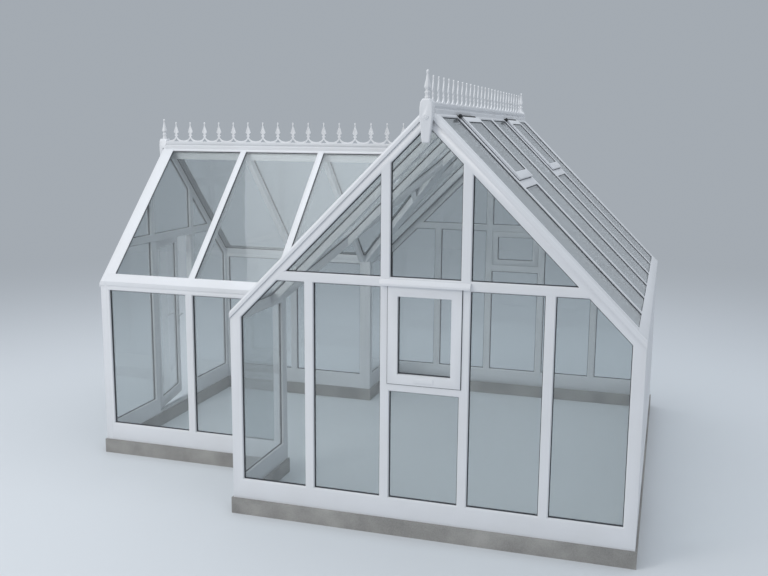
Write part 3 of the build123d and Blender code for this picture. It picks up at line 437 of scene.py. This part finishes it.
def rounded(name, width, paint):
    """A copy of a solid with its sharp edges rounded, which stands in its place."""
    shape = bmesh.new()
    shape.from_mesh(nodes[name].data)
    bmesh.ops.remove_doubles(shape, verts=shape.verts, dist=merge_distance)
    bmesh.ops.dissolve_limit(shape, angle_limit=flat_turn, verts=shape.verts, edges=shape.edges)
    for face in shape.faces:
        face.smooth = True
    mesh = bpy.data.meshes.new(name + "_rounded")
    shape.to_mesh(mesh)
    shape.free()
    piece = bpy.data.objects.new(name + "_rounded", mesh)
    scene.collection.objects.link(piece)
    bevel = piece.modifiers.new("rounding", "BEVEL")
    bevel.width = width
    bevel.segments = 2
    bevel.limit_method = "ANGLE"
    bevel.angle_limit = sharp_turn
    bevel.harden_normals = True
    mesh.materials.append(paint)
    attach(piece, body_for(name))
    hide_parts(name)


kept_nodes = [name for name in nodes if "glass" in name or "plinth" in name] + list(plain_nodes)
for name in sorted(set(nodes) - set(kept_nodes)):
    kind = "casting" if name in casting_nodes else "metal" if name in metal_nodes else "frame"
    rounded(name, edge_round[kind], whites[kind])

# %% [markdown]
# The solids that keep their own shape only get a finish: glass, concrete, the hinges and the threshold.

# %% Finishes for the solids that stay
for name in kept_nodes:
    paint = clear_glass if "glass" in name else concrete if "plinth" in name else whites["metal"]
    nodes[name].data.materials.clear()
    nodes[name].data.materials.append(aluminium if name == "door_threshold" else paint)
print("solids with a finish:", len(kept_nodes))

# %% [markdown]
# Gaskets, spacers and seals all follow the edges of the panes, so the script reads those edges from the
# glass solids instead of listing them. A solid's mesh is loose triangles: equal points are merged, and the
# triangles that hang together are one pane. On each broad face, the edges that only one triangle uses are
# its rim, and walking along them gives the corners in order.

# %% Read the panes from the glass
decimals, straight_bend, same_way = 5, 0.001, 0.999


def welded(solid):
    """A solid's points with equal ones merged, and its triangles as rows of three point numbers."""
    mesh = solid.data
    points = np.empty(3 * len(mesh.vertices))
    mesh.vertices.foreach_get("co", points)
    corners = np.empty(len(mesh.loops), int)
    mesh.loops.foreach_get("vertex_index", corners)
    merged, number = np.unique(np.round(points.reshape(-1, 3), decimals), axis=0, return_inverse=True)
    return merged, number.ravel()[corners].reshape(-1, 3)


def groups_of(triangles, count):
    """One number per triangle, the same over a connected solid: the lowest point number spreads."""
    label = np.arange(count)
    while True:
        spread = label.copy()
        np.minimum.at(spread, triangles.ravel(), label[triangles].min(axis=1).repeat(3))
        if (spread == label).all():
            return label[triangles[:, 0]]
        label = spread


def rim_of(flat, points):
    """The corners round a set of coplanar triangles, in order, with the straight ones left out."""
    edges = np.concatenate([flat[:, (0, 1)], flat[:, (1, 2)], flat[:, (2, 0)]])
    forth = edges[:, 0] * len(points) + edges[:, 1]
    back = edges[:, 1] * len(points) + edges[:, 0]
    rim = edges[~np.isin(forth, back)]
    after = dict(rim.tolist())
    walk = [int(rim[0, 0])]
    while len(walk) < len(rim):
        walk.append(after[walk[-1]])
    corners = points[walk]
    run = np.roll(corners, -1, axis=0) - corners
    run /= np.linalg.norm(run, axis=1, keepdims=True)
    bend = np.linalg.norm(np.cross(np.roll(run, 1, axis=0), run), axis=1)
    return corners[bend > straight_bend]


def panes_of(name):
    """Both broad faces of every pane in a glass solid, as (corners in order, normal)."""
    points, triangles = welded(nodes[name])
    first = points[triangles[:, 0]]
    normal = np.cross(points[triangles[:, 1]] - first, points[triangles[:, 2]] - first)
    area = np.linalg.norm(normal, axis=1)
    normal /= area[:, None]
    group = groups_of(triangles, len(points))
    faces = []
    for number in np.unique(group):
        mine = np.flatnonzero(group == number)
        broad = normal[mine[np.argmax(area[mine])]]
        for side in (broad, -broad):
            faces.append((rim_of(triangles[mine[normal[mine] @ side > same_way]], points), side))
    return faces


wall_panes = panes_of("main_wall_glass") + panes_of("wing_wall_glass")
roof_panes = panes_of("left_roof_glass") + panes_of("right_roof_glass") + panes_of("wing_roof_glass")
door_panes = panes_of("door_glass")
counts = [len(some) // 2 for some in (wall_panes, roof_panes, door_panes)]
print("panes in walls, roofs and the door:", *counts)

# %% [markdown]
# A gasket is a profile carried round a pane. Two steps make it. First each edge of the outline moves
# inwards by its own width, and the corners follow. Then the profile, a short list of points (s, t), is
# laid along it: s goes further in over the glass, and t stands out from it. The result is one closed tube
# with mitred corners.

# %% A profile carried round an outline


def inset(corners, normal, widths):
    """Moves each edge of an outline inwards by its own width.

    With m and n pointing inwards from the edges before and after a corner and c = m.n, the corner moves by
    a m + b n, where a = (w1 - c w2) / (1 - c c) and b = (w2 - c w1) / (1 - c c).
    """
    run = np.roll(corners, -1, axis=0) - corners
    inward = np.cross(normal, run)
    inward /= np.linalg.norm(inward, axis=1, keepdims=True)
    widths = np.broadcast_to(widths, len(corners))
    before, width_before = np.roll(inward, 1, axis=0), np.roll(widths, 1)
    lean = (before * inward).sum(axis=1)
    a = (width_before - lean * widths) / (1 - lean * lean)
    b = (widths - lean * width_before) / (1 - lean * lean)
    return corners + a[:, None] * before + b[:, None] * inward


def ring(corners, normal, widths, profile):
    """A closed tube round an outline: its point (s, t) lies s inside the inset outline and t off the face."""
    grid = np.stack([inset(corners, normal, widths + s) + t * normal for s, t in profile])
    rows, around = grid.shape[:2]
    i, k = np.meshgrid(np.arange(rows), np.arange(around), indexing="ij")
    up, on = (i + 1) % rows, (k + 1) % around
    quads = np.stack([i * around + k, i * around + on, up * around + on, up * around + k], -1)
    return grid.reshape(-1, 3), quads.reshape(-1, 4).tolist()


def joined(parts):
    """Several (points, faces) pairs as one, with the later faces' numbers raised."""
    points, faces, count = [], [], 0
    for some_points, some_faces in parts:
        points.append(some_points)
        faces += [[corner + count for corner in face] for face in some_faces]
        count += len(some_points)
    return np.concatenate(points), faces


def fitted(name, parts, paint, body="house"):
    """A piece from several parts, with its finish, that rides on a body."""
    piece = mesh_piece(name, *joined(parts))
    piece.data.materials.append(paint)
    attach(piece, body)
    print(name + ":", len(parts), "parts,", len(piece.data.polygons), "faces")


glass_bite = 0.012
gasket_profile = [(-0.0010, -0.0005), (-0.0010, 0.0042), (0.0015, 0.0048), (0.0044, 0.0034),
                  (0.0062, 0.0008), (0.0062, -0.0005)]
fitted("wall_gaskets", [ring(c, n, glass_bite, gasket_profile) for c, n in wall_panes], rubber)
fitted("door_gaskets", [ring(c, n, glass_bite, gasket_profile) for c, n in door_panes], rubber, "door")

# %% [markdown]
# On the roofs the glass runs further under the cover strips, by a different width at each kind of edge, and
# inside by the width of the beams. The direction and the height of an edge tell its kind: a level edge is
# an eave, a crossbar or a ridge, an edge that runs askew in plan lies in a valley, and the others lie along
# a bar or, at the ends, along a verge. The vents' own panes stand higher and are held like wall panes.

# %% Gaskets of the roofs
eave_height, main_ridge_height, wing_ridge_height = 1.91, 3.71, 3.34
eave_band, ridge_band, verge_band = 0.24, 0.12, 0.06
level_rise, askew_run, facing, vent_level = 0.01, 0.2, 0.5, -0.010
front_end, rear_end, wing_end, half_width = 0.0, 4.75, -3.85, 1.80
laps = {  # outside, inside
    "bar": (0.025, 0.020), "verge": (0.095, 0.025), "ridge": (0.0537, 0.003),
    "eave": (0.0354, 0.0354), "valley": (0.0404, 0.0404), "crossbar": (0.014, 0.014),
}


def roof_edge(run, halfway, ridge):
    """The kind of a roof pane's edge, from its direction and the place of its middle."""
    run = np.abs(run) / np.linalg.norm(run)
    if run[2] < level_rise:
        if halfway[2] < eave_height + eave_band:
            return "eave"
        return "ridge" if halfway[2] > ridge - ridge_band else "crossbar"
    if run[0] > askew_run and run[1] > askew_run:
        return "valley"
    at_end = min(halfway[1] - front_end, rear_end - halfway[1], halfway[0] - wing_end)
    return "verge" if at_end < verge_band else "bar"


def level_over_roof(corners, normal):
    """How far a face stands above the surface that the cover strips' tops lie in."""
    eave = np.array([np.sign(normal[0]) * half_width, 0.0, eave_height])
    return (corners[0] - eave) @ normal


def roof_widths(corners, normal):
    """How far the cover strips or the beams lap over each edge of a pane's face."""
    outside = normal[2] > 0
    ridge = wing_ridge_height if abs(normal[1]) > facing else main_ridge_height
    runs = np.roll(corners, -1, axis=0) - corners
    kinds = [roof_edge(run, corner + run / 2, ridge) for corner, run in zip(corners, runs)]
    return np.array([laps[kind][0 if outside else 1] for kind in kinds])


vent_panes = [(c, n) for c, n in roof_panes
              if n[0] > facing and level_over_roof(c, n) > vent_level]
vent_inner = [(c, n) for c, n in roof_panes
              if n[0] < -facing and n[2] < 0 and level_over_roof(c, -n) > vent_level]
raised = {c.tobytes() for c, n in vent_panes + vent_inner}
slope_panes = [(c, n) for c, n in roof_panes if c.tobytes() not in raised]
fitted("roof_gaskets", [ring(c, n, roof_widths(c, n), gasket_profile) for c, n in slope_panes]
       + [ring(c, n, glass_bite, gasket_profile) for c, n in vent_panes + vent_inner], rubber)
print("vents with raised panes:", len(vent_panes), len(vent_inner))

# %% [markdown]
# Inside the rim of a sealed unit runs a spacer, a thin aluminium bar that keeps the two sheets apart. The
# frame hides it from straight ahead, and from the side it glints as a narrow line under the gasket. It is
# another ring, this time inside the block of glass.

# %% Spacers inside the sealed glass
spacer_profile = [(0.0020, -0.0195), (0.0020, -0.0045), (0.0035, -0.0040), (0.0112, -0.0040),
                  (0.0118, -0.0046), (0.0118, -0.0194), (0.0112, -0.0200), (0.0035, -0.0200)]


def first_faces(panes):
    """One broad face of each pane, the first of its two."""
    return panes[::2]


fixed_panes = first_faces(wall_panes) + first_faces(roof_panes)
fitted("spacers", [ring(c, n, 0.0, spacer_profile) for c, n in fixed_panes], aluminium)
fitted("door_spacers", [ring(c, n, 0.0, spacer_profile) for c, n in first_faces(door_panes)], aluminium,
       "door")

# %% [markdown]
# The gable windows, the vents and the door close on seals, which show as a dark line round each. Round the
# gable windows and the vents the dark rubber also stands for the shade in the gap between the sash and the
# frame, so it is partly painted shade. They are rings too, further out than the pane: the widths are
# negative, so the outline grows to the sash's edge.

# %% Seals of the windows, the vents and the door, partly painted shade in the gaps round the sashes
sash_grow, near_middle = 0.076, 0.2
window_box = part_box("gable_windows")
# A dark rubber seal round each gable window's sash that also stands for the shade in the gap round it: partly
# painted shade.
window_seal_and_gap_shade = [(0.0010, 0.0225), (-0.0052, 0.0225), (-0.0060, 0.0240), (-0.0040, 0.0275), (0.0010, 0.0285)]


def outward(panes):
    """The faces of wall panes that look away from the building's middle."""
    return [(c, n) for c, n in panes if (c.mean(axis=0) - house_middle) @ n > 0]


def in_box(point, box, slack=0.05):
    """True where a point lies in a box, or less than the slack outside it."""
    low, high = np.array(box)
    return bool(np.all(point > low - slack) and np.all(point < high + slack))


window_panes = [(c, n) for c, n in outward(wall_panes) if in_box(c.mean(axis=0), window_box)
                and abs(c.mean(axis=0)[0]) < near_middle]
fitted("window_seals_and_gap_shade", [ring(c, n, -sash_grow, window_seal_and_gap_shade) for c, n in window_panes], rubber)

vent_side, vent_foot = 0.048, 0.073
# A dark rubber seal round each vent's sash that also stands for the shade in the gap between the sash and the
# bars: partly painted shade.
vent_seal_and_gap_shade = [(0.0005, -0.0165), (-0.0045, -0.0165), (-0.0050, -0.0140), (-0.0030, -0.0110), (0.0005, -0.0105)]


def grown_by_edge(corners, side, foot, slack=0.001):
    """Widths that grow an outline by one amount at its lowest level edge and by another elsewhere."""
    heights = (corners + np.roll(corners, -1, axis=0))[:, 2] / 2
    return np.where(heights < heights.min() + slack, -foot, -side)


fitted("vent_seals_and_gap_shade", [ring(c, n, grown_by_edge(c, vent_side, vent_foot), vent_seal_and_gap_shade) for c, n in vent_panes],
       rubber)

door_side, door_foot = 0.076, 0.108
door_seal = [(0.0005, -0.0160), (-0.0020, -0.0155), (-0.0024, -0.0130), (-0.0020, -0.0105), (0.0005, -0.0100)]
fitted("door_seal", [ring(c, n, grown_by_edge(c, door_side, door_foot), door_seal)
                     for c, n in first_faces(door_panes)], rubber, "door")

# %% [markdown]
# A vent hangs at its head from a long black hinge: a rounded barrel over the gap between the sash and the
# ridge, with a leaf on the ridge's skirt and a pointed knob at the front end. The barrel is a profile
# carried along a straight line and closed at both ends. The knob is turned: its outline of radii and
# heights goes round an axis.

# %% Hinges of the vents
upright_limit = 0.9


def bar_along(start, end, side, up, profile):
    """A profile carried from start to end: its point (s, t) lies s along side and t along up."""
    shape = np.array(profile) @ np.stack([side, up])
    here = np.arange(len(profile))
    on = (here + 1) % len(profile)
    quads = np.stack([here, on, on + len(profile), here + len(profile)], -1).tolist()
    caps = [here[::-1].tolist(), (here + len(profile)).tolist()]
    return np.concatenate([start + shape, end + shape]), quads + caps


def turned(place, axis, profile, sides=24, dip=None):
    """A turned shape: radius r, height h and angle a give place + h axis + r (cos a u + sin a v).

    The profile runs from the tip on the axis down to the foot on the axis. A dip lowers the height by a
    function of the radius and the angle.
    """
    axis = np.asarray(axis, float) / np.linalg.norm(axis)
    u = np.cross(axis, (0.0, 0.0, 1.0) if abs(axis[2]) < upright_limit else (1.0, 0.0, 0.0))
    u /= np.linalg.norm(u)
    v = np.cross(axis, u)
    radius, height = np.array(profile).T
    angle = np.arange(sides) * 2 * pi / sides
    high = np.repeat(height[1:-1, None], sides, axis=1)
    tip = height[0]
    if dip is not None:
        high = high - dip(radius[1:-1, None], angle)
        tip = tip - dip(np.zeros(1), angle).mean()
    spokes = np.cos(angle)[:, None] * u + np.sin(angle)[:, None] * v
    rings = place + high[..., None] * axis + radius[1:-1, None, None] * spokes
    points = np.concatenate([[place + tip * axis], rings.reshape(-1, 3), [place + height[-1] * axis]])
    k = np.arange(sides)
    on = (k + 1) % sides
    low = (len(radius) - 3) * sides + 1
    faces = np.stack([np.zeros(sides, int), 1 + k, 1 + on], -1).tolist()
    for row in range(len(radius) - 3):
        base = 1 + row * sides
        faces += np.stack([base + k, base + sides + k, base + sides + on, base + on], -1).tolist()
    return points, faces + np.stack([low + k, np.full(sides, len(points) - 1), low + on], -1).tolist()


roof_level = -0.016  # from the face of a vent's glass to the ridge's skirt
hinge_start, hinge_stop = -0.045, -0.150  # from the sash's front and rear corners, along the house
knob_uphill, knob_rise = 0.014, 0.022
barrel = [(-0.002, 0.0), (0.036, 0.0), (0.034, 0.0045), (0.018, 0.010), (0.0175, 0.021), (0.013, 0.0270),
          (0.003, 0.0275), (-0.002, 0.0225)]
knob = [(0.0, 0.045), (0.0040, 0.040), (0.0100, 0.021), (0.0135, 0.005), (0.0135, -0.005), (0.0100, -0.021),
        (0.0040, -0.040), (0.0, -0.045)]
along_house = np.array([0.0, 1.0, 0.0])
parts = []
for corners, normal in vent_panes:
    sash = inset(corners, normal, grown_by_edge(corners, vent_side, vent_foot)) + roof_level * normal
    head = sash[np.argsort(sash[:, 2])[-2:]]
    head = head[np.argsort(head[:, 1])]
    uphill = np.cross(normal, along_house)
    uphill *= np.sign(uphill[2])
    front, rear = head[0] + hinge_start * along_house, head[1] + hinge_stop * along_house
    parts.append(bar_along(front, rear, uphill, normal, barrel))
    parts.append(turned(front + knob_uphill * uphill + knob_rise * normal, -along_house, knob))
fitted("vent_hinges", parts, black_metal)

# %% [markdown]
# The door's small parts are placed in the door's own frame: so far along its width, so high over the
# plinth and so deep into the room. Each hinge has a domed cap at both ends, the lock has a round cylinder
# on both plates, and screws hold the plates, the hinge leaves and the threshold. A screw's head is a low
# dome whose cross-shaped recess is one more formula: k (1 - r/R) (1 - r/R) (0.3 + 0.7 cos(2a) to the 8th).

# %% Door furniture
hinge_axis = np.array([-3.86, 2.0656667, 0.15])  # its foot, at the level of the plinth's top
door_turn = radians(12)
along_door = np.array([-sin(door_turn), cos(door_turn), 0.0])
into_room = np.array([cos(door_turn), sin(door_turn), 0.0])
upwards = np.array([0.0, 0.0, 1.0])
hinge_levels, knuckle_height = (0.250, 1.040, 1.830), 0.090
handle_along, handle_middle, plate_depths = 0.7726667, 1.020, ((0.0, -1.0), (0.080, 1.0))
plate_screw_reach, lock_drop = 0.097, 0.045
jamb_leaf, jamb_screw_levels, out_of_house = np.array([0.006, -0.026, 0.0]), (0.012, 0.033), (-1, 0, 0)
door_leaf_along, door_leaf_face, door_screw_levels = 0.026, 0.006, (0.057, 0.078)
sill_middle, sill_top, sill_screw_places = -3.805, 0.18, (2.16, 2.37, 2.58, 2.79)


def on_door(along, height, depth):
    """A point on the door: along its width, up from the plinth and into the room."""
    return hinge_axis + along * along_door + height * upwards + depth * into_room


dome = [(0.0, 0.0050), (0.0030, 0.0047), (0.0055, 0.0035), (0.0072, 0.0012), (0.0074, -0.0005),
        (0.0, -0.0005)]
screw_radius, recess = 0.0042, 0.0011
screw_head = [(0.0, 0.0019), (0.0013, 0.0018), (0.0024, 0.0016), (0.0034, 0.0011), (screw_radius, 0.0002),
              (screw_radius, -0.0005), (0.0, -0.0005)]
cylinder = [(0.0, 0.0036), (0.0050, 0.0036), (0.0053, 0.0026), (0.0058, 0.0026), (0.0061, 0.0036),
            (0.0082, 0.0034), (0.0088, 0.0024), (0.0088, -0.0005), (0.0, -0.0005)]


def cross(radius, angle):
    """The depth of a screw's cross-shaped recess."""
    share = np.clip(1 - radius / screw_radius, 0, 1)
    return recess * share * share * (0.3 + 0.7 * np.cos(2 * angle) ** 8)


def screw(place, axis):
    """One screw head on a face."""
    return turned(place, axis, screw_head, 16, cross)


caps_below = [turned(hinge_axis + level * upwards, -upwards, dome) for level in hinge_levels]
caps_above = [turned(hinge_axis + (level + knuckle_height) * upwards, upwards, dome)
              for level in hinge_levels]
fitted("hinge_caps_below", caps_below, whites["metal"])
fitted("hinge_caps_above", caps_above, whites["metal"], "door")
jamb_screws = [screw(hinge_axis + jamb_leaf + (level + up) * upwards, out_of_house)
               for level in hinge_levels for up in jamb_screw_levels]
sill_screws = [screw(np.array([sill_middle, y, sill_top]), upwards) for y in sill_screw_places]
fitted("house_screws", jamb_screws + sill_screws, steel)
leaf_screws = [screw(on_door(door_leaf_along, level + up, door_leaf_face), -into_room)
               for level in hinge_levels for up in door_screw_levels]
plate_screws = [screw(on_door(handle_along, handle_middle + up, depth), way * into_room)
                for depth, way in plate_depths for up in (-plate_screw_reach, plate_screw_reach)]
fitted("door_screws", leaf_screws + plate_screws, steel, "door")
lock = [turned(on_door(handle_along, handle_middle - lock_drop, depth), way * into_room, cylinder)
        for depth, way in plate_depths]
fitted("lock_cylinders", lock, steel, "door")

# %% [markdown]
# The rosette on each pendant is a disc with a boss. A half-round moulding finishes its edge: the same ring
# as a gasket, laid along a circle of 32 corners.

# %% Rosettes
rosette_radius = 0.0215
rosette_places = [((0.0, -0.061, 3.62), (0, -1, 0)), ((0.0, 4.811, 3.62), (0, 1, 0)),
                  ((-3.911, 2.475, 3.25), (-1, 0, 0))]
moulding = [(0.0005, -0.0008), (0.0005, 0.0008), (0.0020, 0.0020), (0.0040, 0.0024), (0.0060, 0.0018),
            (0.0075, 0.0004), (0.0075, -0.0008)]


def circle(place, normal, radius, sides=32):
    """Corners round a circle, anticlockwise for one who looks against the normal."""
    normal = np.asarray(normal, float)
    side = np.cross((0.0, 0.0, 1.0), normal)
    angle = np.arange(sides)[:, None] * 2 * pi / sides
    return np.array(place) + radius * (np.cos(angle) * side + np.sin(angle) * np.cross(normal, side)), normal


rims = [ring(*circle(place, normal, rosette_radius), 0.0, moulding) for place, normal in rosette_places]
fitted("rosette_rings", rims, whites["frame"])
